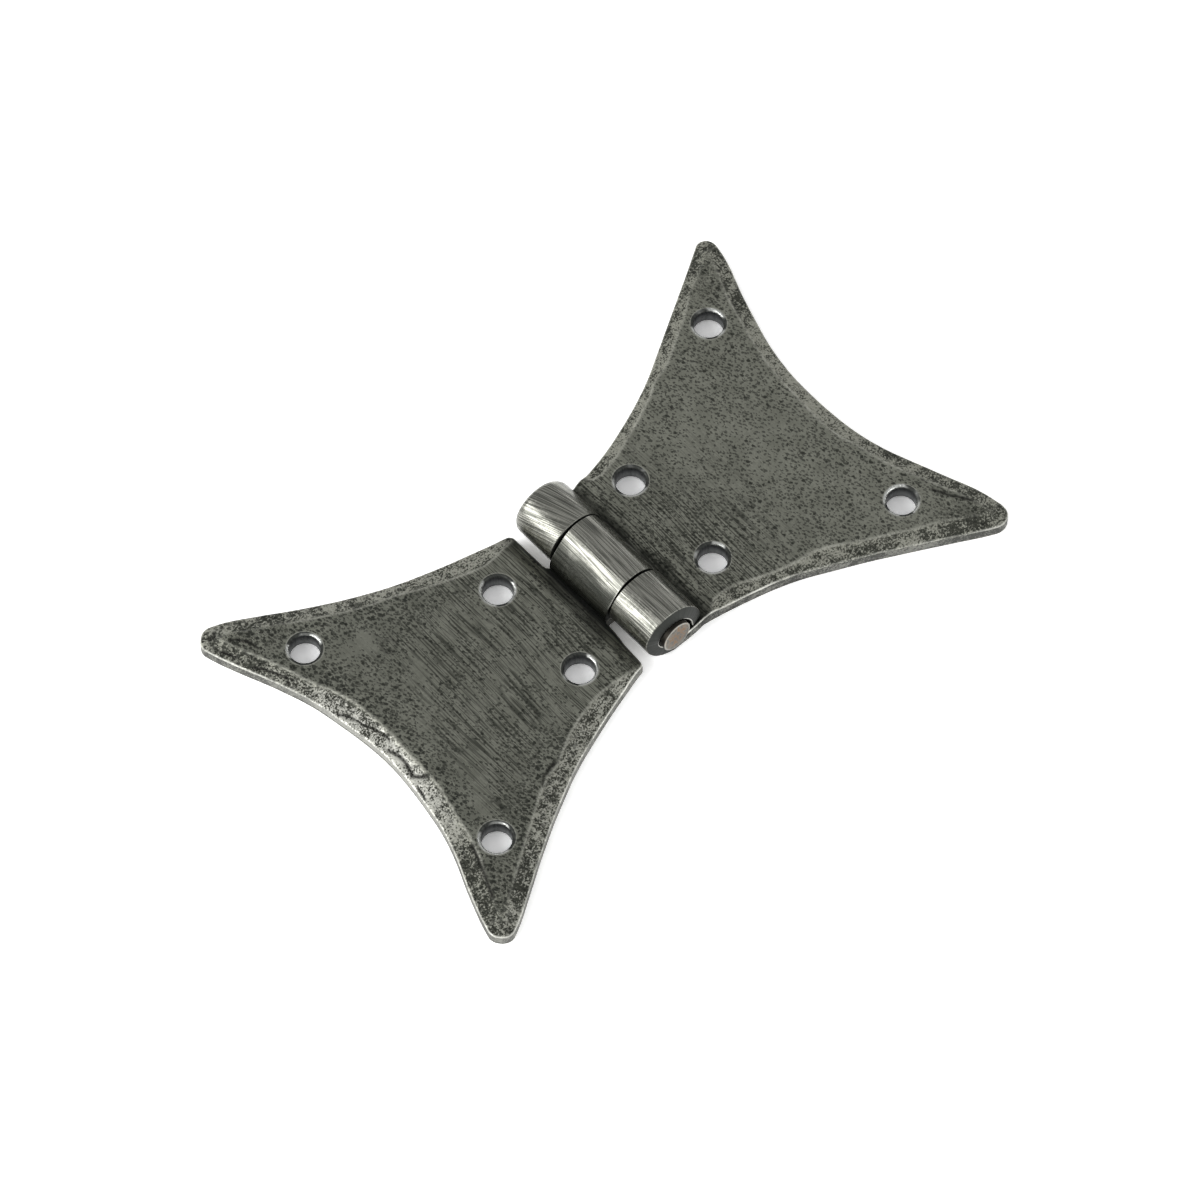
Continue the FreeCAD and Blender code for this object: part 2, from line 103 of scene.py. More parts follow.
def wing_sides(upper_trim, lower_trim, end_trim):
    """Upper side, lower side and end of a wing, each cut off the drawn outline by a table of its own."""
    tip = curve_points(*TIP_ARC, step=0.2)
    upper = np.concatenate([curve_points(*SIDE_ARC), tip[:len(tip) // 2 + 1]])
    half_end = np.concatenate([tip[len(tip) // 2:], curve_points(*END_ARC)])
    end = np.concatenate([half_end, half_end[-2::-1] * (1, -1)])
    wing = evenly(np.concatenate([upper[:-1], end[:-1], upper[::-1] * (1, -1)]), 0.4)
    wing = np.concatenate([wing, upper[:1] * (1, -1)])
    course = np.gradient(wing, axis=0)
    outward = np.column_stack([-course[:, 1], course[:, 0]])
    outward /= np.linalg.norm(outward, axis=1)[:, None]
    first = np.linalg.norm(wing - upper[-1], axis=1).argmin()
    last = np.linalg.norm(wing - upper[-1] * (1, -1), axis=1).argmin()
    trim = np.interp(wing[:, 0], *upper_trim)
    trim[first:last] = np.interp(wing[first:last, 1], *end_trim)
    trim[last:] = np.interp(wing[last:, 0], *lower_trim)
    span = 2 * TRIM_EASING + 1
    trim = np.convolve(np.pad(trim, TRIM_EASING, mode="edge"), np.full(span, 1 / span), mode="valid")
    cut = wing + trim[:, None] * outward
    return cut[:first + 1], cut[last:][::-1], cut[first:last + 1]


# Steps of the blank's mesh, finest along the hammered band, the edges, the hole rims and the folds
FINE_STEP = 0.24
COARSE_STEP = 0.42
FINE_REACH = 3.2
RIM_SIDES = 72
EDGE_ROWS = (0.025, 0.055, 0.09, 0.13, 0.2)
RIM_ROWS = (0.03, 0.07, 0.12, 0.18, 0.26, 0.34, 0.4, 0.5)
MARK_ROWS = (-0.2, -0.1, 0, 0.1, 0.2)


def lattice(low, high, step):
    """Points of a triangular lattice over a rectangle."""
    rows = np.arange(low[1], high[1], step * 0.866)
    places = np.arange(low[0], high[0], step)
    return np.array([(x + (i % 2) * step / 2, y) for i, y in enumerate(rows) for x in places])


def punched_blank(name, sides, holes, strip_loop, widths, batter, marks, ends, scuff, lean):
    """Flat mesh of a leaf before it is hammered and rolled, with what the next steps read from it.

    holes is how far the four holes sit off their drawn centres.
    strip_loop goes on from the wing's lower knuckle corner round the strips to its upper one.
    widths and batter give the hammered band's width and roughness along the sides and the end.
    marks are folds and cracks that the hammer left: points, width, depth and lip on the left.
    ends are the far and near ends of the barrel.
    scuff fades the linishing out across the leaf, and lean slants the strips along the pin.
    """
    upper_side, lower_side, leaf_end = sides
    wing = np.concatenate([upper_side[:-1], leaf_end[:-1], lower_side[::-1]])
    loop = np.concatenate([wing, strip_loop])
    border = evenly(np.concatenate([loop, loop[:1]]), FINE_STEP)
    closed = np.concatenate([border, border[:1]])
    ahead = np.roll(border, -1, axis=0) - np.roll(border, 1, axis=0)
    ahead /= np.linalg.norm(ahead, axis=1)[:, None]
    inward = np.column_stack([ahead[:, 1], -ahead[:, 0]])
    turn = np.linspace(0, 2 * np.pi, RIM_SIDES, endpoint=False)
    ring = np.column_stack([np.cos(turn), np.sin(turn)])
    centres = np.array(HOLE_CENTRES) + holes

    low, high = loop.min(0), loop.max(0)
    coarse = lattice(low, high, COARSE_STEP)
    fine = lattice(low, high, FINE_STEP)
    near = np.min([path_distance(fine, path) for path in sides], axis=0)
    fine = fine[(near < FINE_REACH) & (fine[:, 0] > KNUCKLE_EDGE)]
    near = np.min([path_distance(coarse, path) for path in sides], axis=0)
    coarse = coarse[(near >= FINE_REACH) | (coarse[:, 0] <= KNUCKLE_EDGE)]
    inner = np.concatenate([fine, coarse])
    for path, *_ in marks:
        line = evenly(np.array(path), 0.14)
        course = np.gradient(line, axis=0)
        across = np.column_stack([course[:, 1], -course[:, 0]])
        across /= np.linalg.norm(across, axis=1)[:, None]
        inner = inner[path_distance(inner, np.array(path)) > 0.3]
        inner = np.concatenate([inner] + [line + across * shift for shift in MARK_ROWS])
    inner = inner[within(inner, border)]
    inner = inner[path_distance(inner, closed) > 0.3]
    for depth in EDGE_ROWS:
        row = border + inward * depth
        sound = (path_distance(row, closed) > depth * 0.97) & within(row, border)
        inner = np.concatenate([inner, row[sound]])
    hole_gap = np.linalg.norm(inner[:, None] - centres, axis=2).min(1) - HOLE_RADIUS
    inner = inner[hole_gap > RIM_ROWS[-1] + 0.1]
    rims = [centre + HOLE_RADIUS * ring for centre in centres]
    for gap in RIM_ROWS:
        inner = np.concatenate([inner] + [centre + (HOLE_RADIUS + gap) * ring for centre in centres])

    points = np.concatenate([border] + rims + [inner])
    edges = [(i, (i + 1) % len(border)) for i in range(len(border))]
    for hole in range(len(centres)):
        first = len(border) + hole * len(ring)
        edges += [(first + i, first + (i + 1) % len(ring)) for i in range(len(ring))]
    flat, _, faces, *_ = delaunay_2d_cdt([Vector(p) for p in points], edges, [], 1, 1e-7)
    flat = np.array(flat)
    faces = np.array(faces)
    middle = flat[faces].mean(1)
    solid = within(middle, border)
    solid &= np.linalg.norm(middle[:, None] - centres, axis=2).min(1) > HOLE_RADIUS * 0.9995
    faces = faces[solid]

    mesh = bpy.data.meshes.new(name)
    mesh.from_pydata(np.column_stack([flat * 0.001, np.zeros(len(flat))]), [], faces.tolist())
    mesh.update()

    def keep(label, numbers):
        layer = mesh.attributes.new(label, "FLOAT", "POINT")
        layer.data.foreach_set("value", np.asarray(numbers, np.float32))

    drop = np.zeros(len(flat))
    ridge_highlight = np.zeros(len(flat))
    rough = np.zeros(len(flat))
    for path, (places, amounts), axis, force in zip(sides, widths, (0, 0, 1), batter):
        wide = np.interp(flat[:, axis], places, amounts)
        away = path_distance(flat, path)
        run = np.clip(1 - away / np.maximum(wide, 0.05), 0, 1)
        share = 0.3 * (1 - np.exp(-run * 8)) + 0.7 * run ** 1.2
        drop = np.maximum(drop, share * np.minimum(wide / 1.4, 1))
        # The band's inner crest, which the finish paints as a light line: a painted highlight.
        ridge_highlight = np.maximum(ridge_highlight, np.exp(-((away - wide) / 0.13) ** 2) * np.minimum(wide, 1))
        rough = np.maximum(rough, np.interp(flat[:, axis], *force) * np.clip(run * 4, 0, 1))
    tip = np.clip((np.abs(flat[:, 1]) - TIP_START) / TIP_RUN, 0, 1)
    ridge_highlight *= 1 - 0.75 * tip
    drop[flat[:, 0] < KNUCKLE_EDGE] = 0
    ridge_highlight[flat[:, 0] < KNUCKLE_EDGE] = 0
    crack = np.zeros(len(flat))
    lift = np.zeros(len(flat))
    for path, wide, depth, lip in marks:
        path = np.array(path)
        away = path_distance(flat, path)
        close = np.flatnonzero(away < 2.5)
        runs = np.diff(path, axis=0)
        from_middles = flat[close][:, None] - path[:-1] - runs / 2
        nearest = np.linalg.norm(from_middles, axis=2).argmin(1)
        run = runs[nearest]
        out = flat[close] - path[:-1][nearest]
        left = run[:, 0] * out[:, 1] - run[:, 1] * out[:, 0] > 0
        cut = np.exp(-(away[close] / wide) ** 2)
        crack[close] = np.maximum(crack[close], cut * min(1, depth / 0.12))
        lift[close] += left * lip * np.exp(-away[close] / 0.5) - depth * cut
    keep("border", path_distance(flat, closed))
    keep("hole", np.linalg.norm(flat[:, None] - centres, axis=2).min(1) - HOLE_RADIUS)
    keep("drop", drop)
    keep("ridge_highlight", ridge_highlight)
    keep("tip", tip)
    keep("batter", rough)
    keep("crack", crack)
    keep("lift", lift)
    slant, places, amounts = scuff
    keep("scuff", np.interp(flat[:, 0] + slant * flat[:, 1], places, amounts))
    elsewhere = 99.0
    for label, end in zip(("far", "near"), ends):
        keep(label, np.where(flat[:, 0] < 1.5, path_distance(flat, np.array(end)), elsewhere))
    tilt = np.interp(flat[:, 1], *lean)
    keep("lean", tilt * np.clip((KNUCKLE_EDGE - flat[:, 0]) / 3, 0, 1))
    return mesh


class Signal:
    """Output socket of a node tree that can stand in a Python expression."""

    def __init__(self, tree, socket=None):
        self.tree = tree
        self.socket = socket

    def add(self, kind, settings={}, values={}, output=0):
        """New node: its settings, then the values or links of its sockets."""
        node = self.tree.nodes.new(kind)
        for name, setting in settings.items():
            setattr(node, name, setting)
        for name, value in values.items():
            if isinstance(value, Signal):
                self.tree.links.new(value.socket, node.inputs[name])
            else:
                node.inputs[name].default_value = value
        return Signal(self.tree, node.outputs[output])

    def math(self, operation, *others):
        return self.add("ShaderNodeMath", {"operation": operation}, dict(enumerate((self, *others))))

    def __add__(self, other):
        return self.math("ADD", other)

    def __sub__(self, other):
        return self.math("SUBTRACT", other)

    def __mul__(self, other):
        return self.math("MULTIPLY", other)

    def __truediv__(self, other):
        return self.math("DIVIDE", other)

    def __rsub__(self, other):
        return self.add("ShaderNodeMath", {"operation": "SUBTRACT"}, {0: other, 1: self})

    __radd__ = __add__
    __rmul__ = __mul__

    def ramp(self, low, high):
        """Smooth step from 0 at low to 1 at high."""
        bounds = {"Value": self, "From Min": low, "From Max": high}
        return self.add("ShaderNodeMapRange", {"interpolation_type": "SMOOTHSTEP"}, bounds)

    def blend(self, first, second):
        """Colour between two others, by this share."""
        return self.add("ShaderNodeMix", {"data_type": "RGBA"}, {0: self, 6: first, 7: second}, 2)

    def split(self):
        node = self.add("ShaderNodeSeparateXYZ", values={0: self}).socket.node
        return [Signal(self.tree, socket) for socket in node.outputs]

    def joined(self, *others):
        return self.add("ShaderNodeCombineXYZ", values=dict(enumerate((self, *others))))

    def noise(self, detail=2.0, roughness=0.5, scale=1.0):
        values = {"Vector": self, "Scale": scale, "Detail": detail, "Roughness": roughness}
        return self.add("ShaderNodeTexNoise", values=values)


def leaf_former():
    """Node tree that hammers a flat blank, gives it its thickness and rolls its knuckles."""
    tree = bpy.data.node_groups.new("leaf_former", "GeometryNodeTree")
    tree.interface.new_socket("Blank", in_out="INPUT", socket_type="NodeSocketGeometry")
    for size in ("Plate", "Strip", "Knuckle", "Turn", "Eased", "Flattening", "Edge Round", "Hole Round",
                 "Far Round", "Near Cone", "Bevel Drop", "Hammer Depth", "Facing", "Pattern Place"):
        tree.interface.new_socket(size, in_out="INPUT", socket_type="NodeSocketFloat")
    tree.interface.new_socket("Steel", in_out="INPUT", socket_type="NodeSocketMaterial")
    tree.interface.new_socket("Leaf", in_out="OUTPUT", socket_type="NodeSocketGeometry")
    group = tree.nodes.new("NodeGroupInput")
    size = {socket.name: Signal(tree, socket) for socket in group.outputs}
    start = Signal(tree)

    def told(label):
        kind = {"data_type": "FLOAT"}
        return start.add("GeometryNodeInputNamedAttribute", kind, {"Name": label}, "Attribute")

    place = start.add("GeometryNodeInputPosition")
    out, along, _ = place.split()
    out = out * 1000
    along = along * 1000
    spot = out.joined(along, size["Pattern Place"])

    def rounded(gap, radius):
        lack = 1 - (gap / radius).math("MINIMUM", 1.0).math("MAXIMUM", 0.0)
        return radius * (1 - (1 - lack * lack).math("SQRT"))

    dents = spot.noise(detail=2.0, roughness=0.55, scale=0.42)
    facets = spot.noise(detail=2.0, roughness=0.5, scale=1.2)
    band = told("drop").ramp(0.0, 0.25)
    blows = dents * 1.0 + facets * (0.4 + told("batter") * 1.6) - 0.45
    hammer = size["Hammer Depth"] * (band * blows + 0.3 * dents)
    edges = rounded(told("border"), size["Edge Round"]) + rounded(told("hole"), size["Hole Round"])
    plate = (out + (dents - 0.5) * 1.2).ramp(4.5, 6.6)
    thick = size["Strip"] + plate * (size["Plate"] - size["Strip"])
    shaped = told("lift") - told("drop") * size["Bevel Drop"] - hammer.math("MAXIMUM", 0.0)
    top = thick - edges + plate * shaped
    roll = 0 - out
    dip = roll.ramp(11.5, 15.5) * (1 - roll.ramp(16.0, 20.0))
    worn = spot.noise(detail=1.0, roughness=0.5, scale=0.3) * 0.05 * (1 - plate) + dip * size["Flattening"]
    foot = size["Edge Round"] * 0.4
    under = rounded(told("border"), foot) + rounded(told("hole"), foot)
    under = under + worn + rounded(told("far"), size["Far Round"])

    def formed(height):
        """Place of a point of the sheet at a height over its underside, after rolling."""
        back = (0 - out).math("MAXIMUM", 0.0)
        limit = size["Knuckle"] * size["Turn"]
        first = back.math("MINIMUM", limit) / size["Knuckle"]
        both = first + (back - limit).math("MAXIMUM", 0.0) / size["Eased"]
        tight = size["Knuckle"] - height
        eased = size["Eased"] - height
        sine = first.math("SINE")
        cosine = first.math("COSINE")
        x = out.math("MAXIMUM", 0.0) - tight * sine - eased * (both.math("SINE") - sine)
        z = size["Knuckle"] - tight * cosine - eased * (both.math("COSINE") - cosine)
        cone = size["Near Cone"] * (1 - told("near").ramp(0.0, 1.6)) * back.ramp(1.0, 8.0)
        y = along + told("lean") * x - cone * height / size["Strip"]
        return (x * size["Facing"] * 0.001).joined(y * size["Facing"] * 0.001, z * 0.001)

    def layer(geometry, height, selection=True):
        """Points of a layer moved to their height, each remembering where it lay in the blank."""
        settings = {"data_type": "FLOAT_VECTOR", "domain": "POINT"}
        values = {"Geometry": geometry, "Selection": selection, "Name": "flat"}
        values["Value"] = out.joined(along + size["Pattern Place"], height)
        kept = start.add("GeometryNodeStoreNamedAttribute", settings, values)
        return start.add("GeometryNodeSetPosition", values={0: kept, 1: selection, 2: formed(height)})

    blank = size["Blank"]
    face = layer(blank, top)
    base = start.add("GeometryNodeFlipFaces", values={0: layer(blank, under)})
    sides = start.add("GeometryNodeInputMeshEdgeNeighbors").math("COMPARE", 1.0, 0.1)
    drawn = {"Mesh": blank, "Selection": sides, "Offset Scale": 0.0}
    extruded = start.add("GeometryNodeExtrudeMesh", {"mode": "EDGES"}, drawn)
    outputs = extruded.socket.node.outputs
    upper, new = Signal(tree, outputs["Top"]), Signal(tree, outputs["Side"])
    settings = {"data_type": "BOOLEAN", "domain": "POINT"}
    values = {"Geometry": extruded, "Name": "upper", "Value": upper}
    tagged = start.add("GeometryNodeStoreNamedAttribute", settings, values)
    wall = start.add("GeometryNodeSeparateGeometry", {"domain": "FACE"}, {0: tagged, 1: new})
    kind = {"data_type": "BOOLEAN"}
    is_upper = start.add("GeometryNodeInputNamedAttribute", kind, {"Name": "upper"}, "Attribute")
    rise = is_upper * top + (1 - is_upper) * under
    wall = layer(wall, rise)
    joined = start.add("GeometryNodeJoinGeometry", values={0: face})
    for part in (base, wall):
        tree.links.new(part.socket, joined.socket.node.inputs[0])
    whole = start.add("GeometryNodeMergeByDistance", values={"Geometry": joined, "Distance": 1e-7})
    smooth = start.add("GeometryNodeSetShadeSmooth", values={0: whole})
    solid = start.add("GeometryNodeRealizeInstances", values={"Geometry": smooth})
    dressed = start.add("GeometryNodeSetMaterial", values={"Geometry": solid, "Material": size["Steel"]})
    finish = tree.nodes.new("NodeGroupOutput")
    tree.links.new(dressed.socket, finish.inputs[0])
    return tree


def form_leaf(name, blank, tree, sizes):
    """Leaf's plain mesh object, made from its blank by the forming tree."""
    piece = bpy.data.objects.new(name, blank)
    bpy.context.scene.collection.objects.link(piece)
    press = piece.modifiers.new("form", "NODES")
    press.node_group = tree
    for item in tree.interface.items_tree:
        if item.in_out == "INPUT" and item.name in sizes:
            press[item.identifier] = sizes[item.name]
    bpy.context.view_layer.update()
    ready = piece.evaluated_get(bpy.context.evaluated_depsgraph_get())
    mesh = bpy.data.meshes.new_from_object(ready)
    piece.modifiers.clear()
    piece.data = mesh
    mesh.name = name
    shell = bmesh.new()
    shell.from_mesh(mesh)
    bmesh.ops.recalc_face_normals(shell, faces=shell.faces)
    shell.to_mesh(mesh)
    shell.free()
    return piece


# The two leaves read their patterns this far apart along the pin, so that no mark is on both
SINGLE_PATTERN = -73.0


def leaf_finish():
    """Blackened steel rubbed back: linishing lines, pits, a mottled hammered band and bright edges."""
    material = bpy.data.materials.new("leaf_patina")
    material.use_nodes = True
    tree = material.node_tree
    tree.nodes.clear()
    start = Signal(tree)

    def told(label, output="Fac"):
        return start.add("ShaderNodeAttribute", {"attribute_name": label}, output=output)

    out, along, depth = told("flat", "Vector").split()
    spot = out.joined(along, depth)
    barrel = 1 - out.ramp(-0.5, 1.5)
    face = depth.ramp(0.25, 0.6)
    band = told("drop").ramp(0.02, 0.2) * face
    batter = told("batter") * face
    tip = told("tip") * face
    wall = 1 - told("border").ramp(0.0, 0.02)
    bore = 1 - told("hole").ramp(0.005, 0.03)

    # Linishing lines along the pin, which fade towards the end of the leaf
    sway = (out * 0.04).joined(along * 0.05, 0.0).noise(detail=1.0)
    slant = along.ramp(5.3, 5.7) * barrel * along * 0.3
    lane = out + (sway - 0.5) * 1.6 - slant
    long_lines = (lane * 4.4).joined(along * 0.11, 0.0).noise(detail=1.0, roughness=0.6)
    short_lines = (lane * 6.5).joined(along * 0.38, 5.0).noise(detail=1.0)
    lines = long_lines.ramp(0.40, 0.49) * (0.35 + 0.65 * short_lines.ramp(0.40, 0.49))
    drawn = (lane * 7.0).joined(along * 0.16, 9.0).noise(detail=1.0)
    streaks = drawn.ramp(0.38, 0.58) * (0.4 + 0.6 * long_lines.ramp(0.38, 0.5))
    patches = spot.noise(detail=2.0, roughness=0.6, scale=0.16)
    fringe = (1 - told("border").ramp(3.0, 7.0)) * out.ramp(14.0, 20.0) * face
    scuff = (0.12 + 0.88 * (told("scuff") + (patches - 0.5) * 1.2).ramp(0.1, 0.8)) * (1 - fringe * 0.8)

    # Rust pits, small and large, with the deepest ones near the sides
    crowd = spot.noise(detail=3.0, roughness=0.55, scale=0.22)
    tone = spot.noise(detail=3.0, roughness=0.55, scale=0.35).ramp(0.3, 0.7)
    single = 1 - along.ramp(SINGLE_PATTERN + 31.0, SINGLE_PATTERN + 39.0)
    wander = (spot.noise(detail=2.0, roughness=0.6, scale=3.4) - 0.5) * 0.55

    def pocks(cell, radius, squeeze, share):
        """Rust pits, at most one to a cell of the surface, in this share of the cells."""
        ground = (out + wander).joined((along - wander) * squeeze, 0.0)
        settings = {"voronoi_dimensions": "2D"}
        cells = start.add("ShaderNodeTexVoronoi", settings, {"Vector": ground, "Scale": 1 / cell})
        sockets = cells.socket.node.outputs
        chance, size, _ = Signal(tree, sockets["Color"]).split()
        reach = (0.6 + 0.8 * size) * (radius / cell)
        hollow = 1 - (Signal(tree, sockets["Distance"]) / reach).ramp(0.6, 1.05)
        return hollow * (share - chance).ramp(0.0, 0.05)

    spread = (crowd - 0.5) * (1.8 + single * 2.2) - told("scuff") * 0.25
    spread = spread + single * (1 - told("scuff")) * 0.3 + tip * 0.4
    outskirts = (1 - told("border").ramp(2.5, 6.5)) * out.ramp(14.0, 20.0)
    spread = spread + outskirts * (0.3 + single * 0.3)
    small = pocks(0.31, 0.12, 0.6, 0.88 + spread + single * (fringe * 0.6 - 0.3))
    large = pocks(0.95, 0.18, 0.75, 0.45 + spread - single * 0.15)
    pits = (small * 0.8).math("MAXIMUM", large) * (1 - wall)
    worst = fringe * (0.15 + single * 0.6) + tip * (0.2 + single * 0.25)
    deep = pocks(0.56, 0.22, 0.85, worst + (crowd - 0.5) * 2.0 - 0.12)
    deep = deep * fringe * (1 - wall) * (1 - batter * 0.8)
    grain = (out * 4.6).joined(along * 3.6, depth).noise(detail=2.0, roughness=0.6).ramp(0.3, 0.7)
    blotch = spot.noise(detail=2.0, roughness=0.5, scale=0.9)
    mottle = spot.noise(detail=3.0, roughness=0.65, scale=4.4)
    stained = (1 - along.ramp(-25.0, -23.0)) * (1 - single) * face
    soiled = mottle + (crowd - 0.5) * 0.4 + (blotch - 0.5) * 0.4
    soiled = soiled + tip * (0.05 - single * 0.04) - batter * 0.03 + stained * 0.07
    grime = soiled.ramp(0.44, 0.57)

    # Colour, from the plain ground up to the barrel, the rubbed edges and the hole rims
    plain = tone.blend((0.186, 0.190, 0.159, 1), (0.240, 0.244, 0.207, 1))
    plain = (grain * 0.4).blend(plain, (0.115, 0.119, 0.099, 1))
    plain = (single * (0.15 + fringe * 0.3 * (1 - tone))).blend(plain, (0.100, 0.104, 0.087, 1))
    lined = (scuff * (1 - lines) * 0.85).blend(plain, (0.040, 0.042, 0.035, 1))
    pitted = (pits * 0.9).blend(lined, (0.028, 0.030, 0.025, 1))
    hammered = grime.blend((0.280, 0.281, 0.238, 1), (0.042, 0.044, 0.036, 1))
    flecked = (batter * (1 - grime)).blend(hammered, (0.62, 0.62, 0.57, 1))
    colour = (band * 0.9).math("MAXIMUM", tip * 0.5 + stained * 0.4).blend(pitted, flecked)
    colour = (deep * 0.85).blend(colour, (0.024, 0.026, 0.022, 1))
    # Painted shade: the plate is darkened in a band next to the barrel, where the barrel shades it.
    corner = (1 - (out + (tone - 0.5) * 0.8).ramp(4.9, 6.8)) * (1 - barrel)
    colour = (corner * (0.9 - single * 0.55)).blend(colour, (0.026, 0.028, 0.024, 1))
    # Painted shade: a near-black line on the strip between the roll and the plate, in the gap between
    # them.
    painted_gap_shade = (1 - out.ramp(4.45, 4.95)) * (1 - barrel) * face
    colour = (painted_gap_shade * 0.92).blend(colour, (0.011, 0.012, 0.011, 1))
    rolled = streaks.blend((0.078, 0.080, 0.070, 1), (0.298, 0.297, 0.266, 1))
    # Painted shade on the underside of the middle knuckle's roll, which faces the plate below it.
    painted_roll_underside_shade = single * (1 - (out + (tone - 0.5) * 1.0).ramp(-15.8, -13.8))
    rolled = (painted_roll_underside_shade * 0.85).blend(rolled, (0.032, 0.034, 0.029, 1))
    # Painted shade: the last stretch of the middle knuckle's roll is near-black, in the gap under its end.
    lip = single * (1 - out.ramp(-19.4, -18.2))
    rolled = (lip * 0.85).blend(rolled, (0.011, 0.012, 0.011, 1))
    colour = barrel.blend(colour, rolled)
    # Painted highlight: a light line along the crest of the hammered band.
    colour = (told("ridge_highlight") * face * (0.35 + tone * 0.5)).blend(colour, (0.44, 0.44, 0.39, 1))
    colour = (told("crack") * face * 0.9).blend(colour, (0.02, 0.02, 0.018, 1))
    rub = (1 - told("border").ramp(0.03, 0.24)) * (1 - wall) * (0.5 + tone * 0.5)
    rub = rub * (1 - barrel * (1 - face * 0.6))
    rub = rub * (1 - (0.7 - single * 0.4) * out.ramp(12.0, 18.0) * (1 - out.ramp(35.0, 39.0)))
    colour = (rub * 0.85).blend(colour, (0.66, 0.66, 0.61, 1))
    # Hole rims: painted glints and painted dark reflection on the rounded rim, bright or dark by noise.
    painted_glint = spot.noise(detail=0.0, scale=0.45).ramp(0.46, 0.60)
    rim = told("hole").ramp(0.005, 0.03) * (1 - told("hole").ramp(0.33, 0.41))
    painted_rim_glints_and_shade = painted_glint.blend((0.040, 0.042, 0.040, 1), (0.50, 0.51, 0.49, 1))
    # Painted highlight: a light line round the outer edge of each hole's rounded rim.
    painted_hole_edge_highlight = told("hole").ramp(0.36, 0.42) * (1 - told("hole").ramp(0.44, 0.56)) * face
    colour = (painted_hole_edge_highlight * 0.35).blend(colour, (0.46, 0.46, 0.42, 1))
    colour = (rim * 0.92).blend(colour, painted_rim_glints_and_shade)
    edge_grain = grime.blend((0.175, 0.176, 0.157, 1), (0.030, 0.031, 0.027, 1))
    edge_grain = (batter * 0.7).blend(edge_grain, (0.40, 0.40, 0.37, 1))
    # Walls: the leaf's sides keep their own grain, and the barrel's end faces are painted darker than its
    # sides, as painted shade.
    side = barrel.blend(edge_grain, (0.034, 0.036, 0.033, 1))
    colour = wall.blend(colour, side)
    # The hole bores are painted lighter towards their foot and darker under the rim.
    inside = depth.ramp(0.6, 1.8).blend((0.170, 0.176, 0.176, 1), (0.036, 0.039, 0.039, 1))
    colour = bore.blend(colour, inside)

    # Gloss and relief
    rough = 0.50 + pits * 0.2 + band * 0.03 + (1 - lines) * scuff * 0.1 - barrel * 0.28
    rough = rough - rub * 0.24 - rim * painted_glint * 0.28 + wall * barrel * 0.3
    heights = 0.010 * lines * scuff * (1 - barrel) + 0.003 * streaks * barrel
    heights = heights - 0.03 * pits * (1 - barrel) - 0.05 * deep - band * grime * (0.025 + batter * 0.04)
    heights = heights + 0.005 * grain * (1 - barrel)
    bump = start.add("ShaderNodeBump", values={"Strength": 1.0, "Distance": 0.001, "Height": heights})
    surface = start.add("ShaderNodeBsdfPrincipled", values={
        "Base Color": colour, "Metallic": 1.0, "Roughness": rough, "Normal": bump,
    })
    result = tree.nodes.new("ShaderNodeOutputMaterial")
    tree.links.new(surface.socket, result.inputs["Surface"])
    return material


forming = leaf_former()
leaf_steel = leaf_finish()
leaf_sizes = {
    "Plate": PLATE, "Strip": STRIP, "Knuckle": KNUCKLE, "Turn": ROLL_TURN, "Edge Round": 0.24,
    "Hole Round": 0.37, "Bevel Drop": 0.5, "Hammer Depth": 0.09, "Steel": leaf_steel,
}
double_sides = wing_sides(
    ([5, 7, 10, 12, 20, 22, 24.5, 28, 36, 39, 39.7, 40.75],
     [-0.46, -0.65, -0.77, -0.8, -0.8, -0.77, -0.55, -0.55, -0.62, -0.55, -0.5, -0.35]),
    ([5, 6.5, 10, 15, 18, 20, 23, 27, 32, 38, 38.9, 39.7, 40.75],
     [0.2, 0.18, 0.18, 0.1, 0.14, 0.33, 0.4, 0.33, 0.22, 0.18, 0.06, -0.1, -0.1]),
    ([-26.4, -25.2, -24.7, -23.5, -22, -20, -18, -14, -10, -6, -3, 0,
      2, 5, 8, 12, 16, 18, 20, 22, 23.5, 24.7, 25.5, 26.4],
     [-0.1, -0.1, -0.06, 0.26, 0.46, 0.5, 0.41, 0.36, 0.3, 0.35, 0.45, 0.49,
      0.46, 0.33, 0.22, 0.1, 0.05, 0.08, 0.24, 0.34, 0.2, 0.0, -0.15, -0.35]),
)
double_near_end = [
    (2.0, -11.95), (0.0, -12.0), (-3.0, -11.7), (-6.0, -11.25), (-12.0, -11.15), (OUTER_END, -11.15),
]
double_far_end = [(2.5, 11.5), (0.5, 11.75), (-3.0, 12.0), (-12.0, 12.1), (OUTER_END, 12.1)]
double_strips = np.array(double_near_end + [
    (OUTER_END, NOTCH_NEAR), (KNUCKLE_EDGE, NOTCH_NEAR), (KNUCKLE_EDGE, NOTCH_FAR), (OUTER_END, NOTCH_FAR),
] + double_far_end[::-1])
double_widths = (
    ([6.6, 7.6, 9, 12, 15, 18, 20.5, 22, 23.5, 25.2, 28, 31, 33.6, 36, 40],
     [0.0, 1.2, 1.6, 1.65, 1.5, 1.35, 1.3, 1.05, 1.35, 1.73, 1.72, 1.75, 1.35, 1.5, 1.7]),
    ([5.6, 7, 9, 10.5, 12, 14, 16, 18, 20, 22, 24, 26, 28, 31, 34, 37, 40],
     [0.0, 1.3, 1.7, 1.75, 1.45, 1.15, 1.2, 1.4, 2.1, 2.2, 2.0, 1.85, 1.9, 1.9, 2.1, 2.0, 1.9]),
    ([-24, -20, -17, -14, -11, -8, -5.5, -3, 0, 3, 6, 9, 12, 15, 18, 22],
     [1.9, 1.9, 1.9, 2.0, 1.9, 1.75, 2.0, 2.15, 1.9, 1.75, 1.75, 1.75, 1.8, 1.9, 2.0, 1.9]),
)
